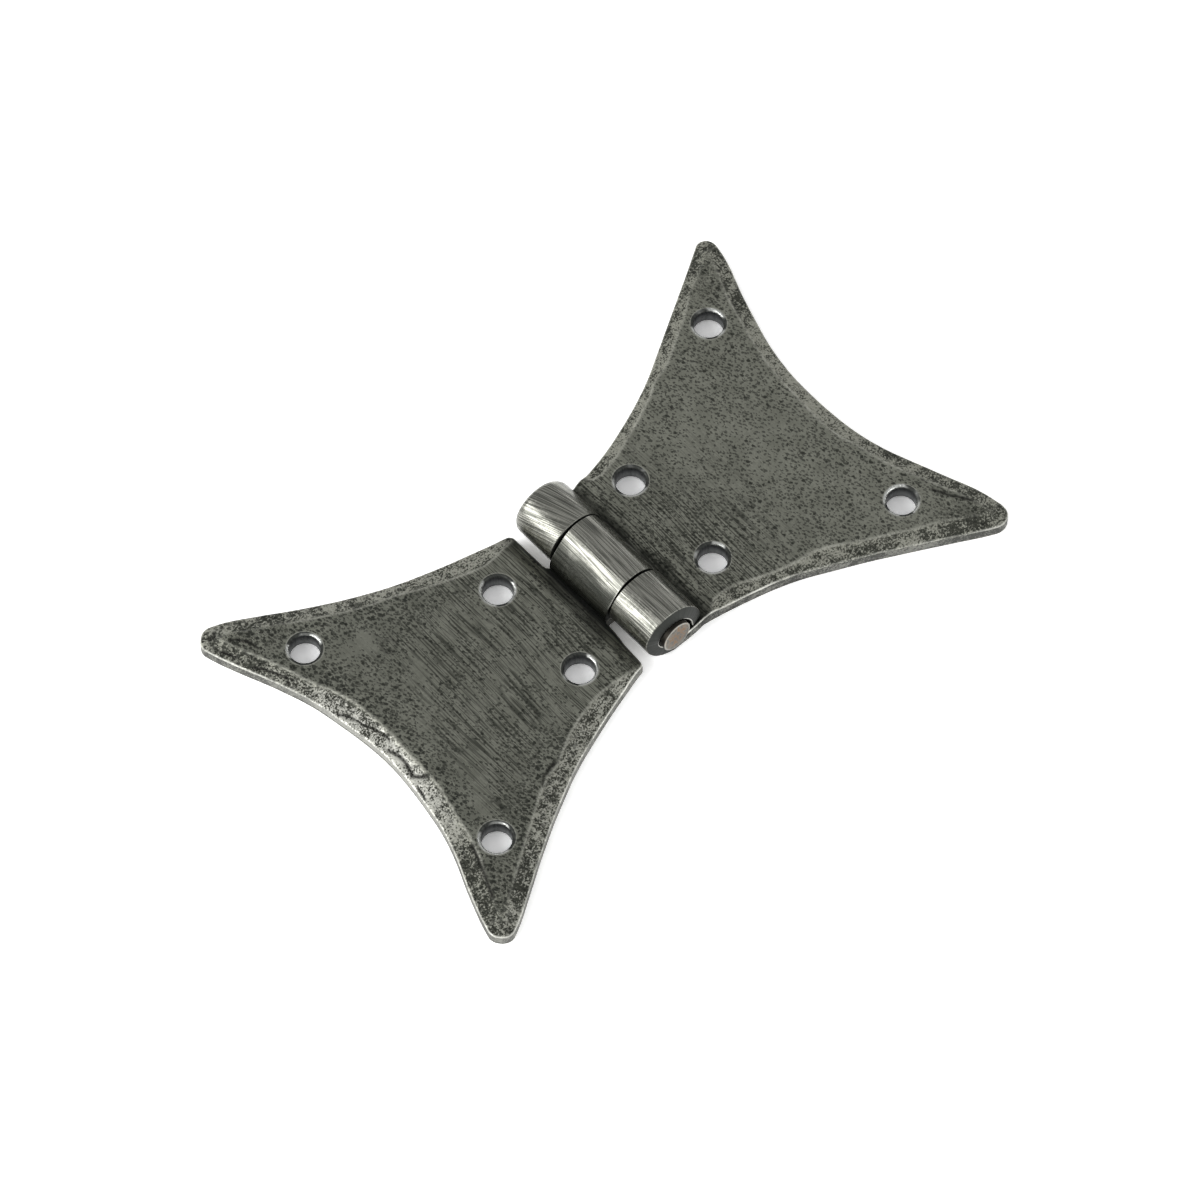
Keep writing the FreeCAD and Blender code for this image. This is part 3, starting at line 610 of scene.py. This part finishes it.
double_batter = (([0], [0.1]), ([0], [0.1]), ([0], [0.1]))
double_marks = [
    ([(36.4, -17.9), (36.9, -18.9), (37.4, -19.8), (38.2, -21.0), (38.9, -22.3)], 0.2, 0.16, 0.1),
]
double_scuff = (0.25, [5, 9, 14, 20, 30], [1.0, 0.9, 0.5, 0.2, 0.0])
double_lean = ([-11.5, -5.5, 12.0], [-0.06, 0.0, 0.0])
double_blank = punched_blank(
    "double_knuckle_blank", double_sides, (0.15, 0.2), double_strips, double_widths, double_batter,
    double_marks, (double_far_end, double_near_end), double_scuff, double_lean,
)
double_leaf = form_leaf("double_knuckle_wing", double_blank, forming, leaf_sizes | {
    "Eased": OUTER_EASED, "Flattening": 0.0, "Far Round": 0.9, "Near Cone": 0.6, "Facing": 1.0,
    "Pattern Place": 0.0,
})
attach(double_leaf, "fixed_leaf")
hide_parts("double_knuckle_leaf")

# Leaf with the middle knuckle: the same blank with one strip, rolled over the pin the same way, and
# turned to face the other way. Its end was hammered hardest, and the steel has folded and split.
MIDDLE_EASED = 5.0
MIDDLE_END = -(KNUCKLE * ROLL_TURN + MIDDLE_EASED * np.radians(61.9))
MIDDLE_LOW = -5.3
MIDDLE_HIGH = 4.46
single_sides = wing_sides(
    ([5, 8, 12, 15, 17, 20, 23, 26, 30, 32, 35, 37.5, 39, 40.75],
     [-0.12, 0.08, 0.16, 0.18, 0.1, 0.05, 0.12, 0.05, 0.03, 0.1, 0.2, 0.28, 0.1, -0.4]),
    ([5, 7, 9.5, 12, 15, 18, 22, 26, 30, 32.5, 36, 37.5, 38.6, 40.75],
     [0.05, 0.18, 0.3, 0.33, 0.29, 0.2, 0.15, 0.1, 0.1, 0.23, 0.36, 0.36, 0.1, -0.5]),
    ([-26.4, -25, -23.6, -20, -18, -16, -12, -10, -8, -6, -4, -2, 0,
      4, 7, 8.5, 10, 12, 14, 16, 18, 20, 23.5, 25, 26.4],
     [-0.5, -0.2, 0.0, -0.07, -0.2, -0.3, -0.27, -0.1, 0.1, 0.17, 0.16, 0.12, 0.06,
      0.06, 0.0, -0.1, -0.24, -0.45, -0.48, -0.42, -0.22, -0.12, -0.1, -0.3, -0.4]),
)
single_ends = (
    [(2.0, MIDDLE_LOW), (MIDDLE_END, MIDDLE_LOW)],
    [(2.0, MIDDLE_HIGH), (MIDDLE_END, MIDDLE_HIGH)],
)
single_strip = np.array([
    (4.36, -11.3), (4.34, -6.1), (4.24, -5.65), (3.95, -5.43), (3.5, -5.32), (2.0, MIDDLE_LOW),
    (MIDDLE_END, MIDDLE_LOW), (MIDDLE_END, MIDDLE_HIGH), (3.4, MIDDLE_HIGH), (3.8, 4.52), (4.02, 4.7),
    (4.05, 5.2), (4.1, 6.0), (4.22, 7.0), (4.42, 8.2), (4.5, 9.5), (4.56, 10.7), (4.62, 11.2),
])
single_widths = (
    ([4.8, 6, 7.5, 9, 12, 15, 17, 19.5, 21, 23, 25, 28, 32, 36, 40],
     [0.3, 0.5, 0.9, 1.5, 2.3, 2.55, 2.5, 2.2, 2.0, 2.5, 2.5, 2.2, 2.1, 2.0, 2.0]),
    ([4.8, 5.5, 8, 9.6, 12, 15, 18, 20, 22, 24, 28, 33, 36, 40],
     [0.9, 1.1, 2.0, 2.5, 2.45, 2.2, 1.9, 1.65, 1.8, 1.95, 1.9, 1.9, 2.0, 2.0]),
    ([-22, -18, -15, -12.8, -10, -8, -6, -3, 0, 2, 4, 6, 8, 10, 12.5, 15, 18, 21, 24],
     [2.0, 2.0, 1.9, 1.8, 2.3, 2.6, 2.6, 2.45, 2.1, 2.0, 2.2, 2.3, 2.4, 2.2, 2.2, 2.4, 2.5, 2.2, 2.0]),
)
single_batter = (
    ([0], [0.3]),
    ([0], [0.2]),
    ([-20, -13, -10, 0, 7, 11, 16], [0.1, 0.4, 0.9, 1.0, 0.9, 0.5, 0.15]),
)
single_marks = [
    ([(35.2, -7.8), (34.6, -6.9), (34.2, -6.0), (33.9, -4.5), (33.4, -3.2), (33.1, -2.2), (33.0, -1.0)],
     0.14, 0.18, 0.08),
    ([(33.9, -0.2), (33.6, 0.8), (33.5, 2.0), (33.8, 3.2), (34.1, 4.2), (33.6, 4.8), (33.1, 5.3)],
     0.22, 0.28, 0.12),
    ([(34.6, 5.6), (34.8, 6.4), (35.1, 7.4)], 0.16, 0.18, 0.0),
    ([(38.4, -19.0), (37.8, -18.2), (37.2, -17.1), (36.7, -16.0), (36.4, -15.2), (36.9, -14.4)],
     0.16, 0.16, 0.06),
    ([(38.0, -23.4), (37.2, -22.6), (36.6, -21.6), (36.4, -20.4)], 0.2, 0.14, 0.04),
    ([(39.8, -25.2), (39.2, -25.0), (38.8, -25.6)], 0.2, 0.12, 0.0),
    ([(39.9, -23.2), (39.3, -22.0), (39.0, -21.2)], 0.16, 0.12, 0.0),
    ([(35.2, 15.6), (35.9, 17.6), (36.6, 19.3), (37.3, 20.8), (37.9, 22.0)], 0.24, 0.14, 0.0),
    ([(24.0, 15.3), (23.2, 14.6), (22.0, 14.3), (21.2, 14.2)], 0.16, 0.1, 0.06),
    (curve_points((25.0, -10.2), 0.9, 0, 360), 0.25, 0.05, 0.0),
]
single_scuff = (-0.4, [5, 15, 24, 30, 36], [1.0, 0.95, 0.7, 0.35, 0.05])
single_lean = ([0.0], [0.0])
single_blank = punched_blank(
    "single_knuckle_blank", single_sides, (0.0, 0.05), single_strip, single_widths, single_batter,
    single_marks, single_ends, single_scuff, single_lean,
)
single_leaf = form_leaf("single_knuckle_wing", single_blank, forming, leaf_sizes | {
    "Eased": MIDDLE_EASED, "Flattening": 0.5, "Far Round": 0.15, "Near Cone": 0.0, "Facing": -1.0,
    "Pattern Place": SINGLE_PATTERN,
})
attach(single_leaf, "swinging_leaf")
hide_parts("single_knuckle_leaf")

# Pin: a length of plain round bar, cropped a little long, so that its near end stands out of the
# barrel. The cropped end leans back, its rim is burred over, and it has begun to rust.
PIN_RADIUS = 2.05
pin_profile = [
    (0.0, -12.44), (0.8, -12.45), (1.5, -12.43), (1.85, -12.41), (2.0, -12.36), (2.08, -12.27),
    (2.08, -12.17), (2.06, -12.1), (PIN_RADIUS, -12.0), (PIN_RADIUS, -6.0), (PIN_RADIUS, 0.0),
    (PIN_RADIUS, 6.0), (PIN_RADIUS, 11.4), (1.98, 11.6), (1.8, 11.71), (1.5, 11.75), (0.0, 11.75),
]
PIN_SIDES = 96
CROP_START = -11.9
CROP_TILT = 0.08


def turned(name, profile, sides, height):
    """Bar along y from pairs of radius and place, closed on its axis, its near end cropped askew."""
    angle = np.linspace(0, 2 * np.pi, sides, endpoint=False)
    rings = [
        np.column_stack([radius * np.sin(angle), np.full(sides, place), height + radius * np.cos(angle)])
        for radius, place in profile[1:-1]
    ]
    for ring in rings:
        ring[:, 1] += CROP_TILT * (ring[:, 2] - height) * (ring[:, 1] < CROP_START)
    ends = [(0, profile[0][1], height), (0, profile[-1][1], height)]
    corners = np.concatenate(rings + [np.array(ends)]) * 0.001
    faces = []
    for ring in range(len(rings) - 1):
        for side in range(sides):
            follow = (side + 1) % sides
            first = ring * sides
            faces.append((first + side, first + follow, first + sides + follow, first + sides + side))
    last = (len(rings) - 1) * sides
    centre = len(rings) * sides
    for side in range(sides):
        follow = (side + 1) % sides
        faces.append((centre, follow, side))
        faces.append((centre + 1, last + side, last + follow))
    mesh = bpy.data.meshes.new(name)
    mesh.from_pydata(corners, [], faces)
    shell = bmesh.new()
    shell.from_mesh(mesh)
    bmesh.ops.recalc_face_normals(shell, faces=shell.faces)
    shell.to_mesh(mesh)
    shell.free()
    mesh.polygons.foreach_set("use_smooth", [True] * len(mesh.polygons))
    piece = bpy.data.objects.new(name, mesh)
    bpy.context.scene.collection.objects.link(piece)
    return piece


def pin_finish():
    """Drawn bar, bright on its turned-over rim and browned by rust on the cropped end."""
    material = bpy.data.materials.new("pin_bar")
    material.use_nodes = True
    tree = material.node_tree
    tree.nodes.clear()
    start = Signal(tree)
    place = start.add("ShaderNodeTexCoord", output="Object")
    x, y, z = place.split()
    x = x * 1000
    y = y * 1000
    z = z * 1000 - KNUCKLE
    reach = (x * x + z * z).math("SQRT")
    spot = x.joined(y, z)
    end = 1 - (y - CROP_TILT * z).ramp(-12.38, -12.30)
    grain = spot.noise(detail=4.0, roughness=0.65, scale=2.2)
    rust = (grain - 0.05 * reach).ramp(0.40, 0.52) * end
    # The shaft is blackened, and painted darker still towards the barrel as painted shade where it goes
    # into the bore.
    shaft = y.ramp(-12.2, -11.2).blend((0.034, 0.031, 0.026, 1), (0.015, 0.015, 0.014, 1))
    cropped = end.math("MAXIMUM", y.ramp(11.6, 11.72) * 0.6)
    sheared = grain.ramp(0.36, 0.64).blend((0.075, 0.072, 0.062, 1), (0.20, 0.192, 0.166, 1))
    drawn = cropped.blend(shaft, sheared)
    browned = rust.blend(drawn, (0.170, 0.105, 0.060, 1))
    rim = reach.ramp(1.75, 2.05) * end
    colour = (rim * 0.6).blend(browned, (0.50, 0.49, 0.45, 1))
    rough = 0.42 + rust * 0.25
    metal = 1 - rust * 0.6
    heights = 0.05 * grain * end
    bump = start.add("ShaderNodeBump", values={"Strength": 1.0, "Distance": 0.001, "Height": heights})
    surface = start.add("ShaderNodeBsdfPrincipled", values={
        "Base Color": colour, "Metallic": metal, "Roughness": rough, "Normal": bump,
    })
    result = tree.nodes.new("ShaderNodeOutputMaterial")
    tree.links.new(surface.socket, result.inputs["Surface"])
    return material


pin = turned("cropped_pin", pin_profile, PIN_SIDES, KNUCKLE)
pin.data.materials.append(pin_finish())
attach(pin, "fixed_leaf")
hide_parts("hinge_pin")

# Floor: a white sweep of card that the hinge lies on, bright to the eye and to reflections, and
# still darkened by the hinge's own shadow.
FLOOR_HALF = 3.0
FLOOR_LEVEL = -2e-5
floor_mesh = bpy.data.meshes.new("floor")
floor_corners = [
    (x * FLOOR_HALF, y * FLOOR_HALF, FLOOR_LEVEL) for x, y in ((-1, -1), (1, -1), (1, 1), (-1, 1))
]
floor_mesh.from_pydata(floor_corners, [], [(0, 1, 2, 3)])
floor = bpy.data.objects.new("floor", floor_mesh)
bpy.context.scene.collection.objects.link(floor)
card = bpy.data.materials.new("white_card")
card.use_nodes = True
card.node_tree.nodes.clear()
paper = Signal(card.node_tree)
rays = paper.add("ShaderNodeLightPath").socket.node.outputs
seen = Signal(card.node_tree, rays["Is Camera Ray"])
for kind in ("Is Glossy Ray", "Is Transmission Ray"):
    seen = seen.math("MAXIMUM", Signal(card.node_tree, rays[kind]))
lighting_paper = paper.add("ShaderNodeBsdfDiffuse", values={"Color": (0.93, 0.93, 0.93, 1)})
seen_paper = paper.add("ShaderNodeBsdfDiffuse", values={"Color": (1.5, 1.5, 1.5, 1)})
sheet = paper.add("ShaderNodeMixShader", values={0: seen, 1: lighting_paper, 2: seen_paper})
card_output = card.node_tree.nodes.new("ShaderNodeOutputMaterial")
card.node_tree.links.new(sheet.socket, card_output.inputs["Surface"])
floor_mesh.materials.append(card)

# Light: a soft white tent all round, a wide panel on the left that draws the bright stripe along the
# barrel and throws the soft shadows to the right, and a weaker panel in front for the near walls.
TENT_LEVEL = 0.74
HINGE_MIDDLE = (0, 0, 0.004)
world = bpy.data.worlds.new("tent")
world.use_nodes = True
world.node_tree.nodes["Background"].inputs["Color"].default_value = (1, 1, 1, 1)
world.node_tree.nodes["Background"].inputs["Strength"].default_value = TENT_LEVEL
bpy.context.scene.world = world


def panel(name, place, aim, wide, tall, power):
    """Soft rectangular light facing a point."""
    lamp = bpy.data.lights.new(name, "AREA")
    lamp.shape = "RECTANGLE"
    lamp.size = wide
    lamp.size_y = tall
    lamp.energy = power
    holder = bpy.data.objects.new(name, lamp)
    holder.location = place
    holder.rotation_euler = (Vector(aim) - Vector(place)).to_track_quat("-Z", "Y").to_euler()
    bpy.context.scene.collection.objects.link(holder)


panel("left_panel", (-0.73, 0.31, 0.42), HINGE_MIDDLE, wide=0.95, tall=0.56, power=8.4)
panel("front_panel", (0.30, -0.78, 0.32), HINGE_MIDDLE, wide=0.6, tall=0.4, power=2.8)

# Camera: a long lens, high over the corner between the near end of the barrel and the end of the
# single-knuckle leaf, and far enough off that the far tips look hardly smaller than the near ones.
AZIMUTH = np.radians(-42.748)
ELEVATION = np.radians(61.664)
DISTANCE = 0.6283
AIM = Vector((-0.002049, -0.001287, 0.0003))
camera_data = bpy.data.cameras.new("camera")
camera_data.sensor_fit = "HORIZONTAL"
camera_data.sensor_width = 36.0
camera_data.lens = 159.84
camera_data.clip_start = 0.05
camera = bpy.data.objects.new("camera", camera_data)
level = np.cos(ELEVATION)
back = Vector((np.sin(AZIMUTH) * level, -np.cos(AZIMUTH) * level, np.sin(ELEVATION)))
camera.location = AIM + DISTANCE * back
camera.rotation_euler = (np.pi / 2 - ELEVATION, 0, AZIMUTH)
bpy.context.scene.collection.objects.link(camera)
bpy.context.scene.camera = camera
bpy.context.scene.view_settings.view_transform = "Standard"

bpy.context.view_layer.update()
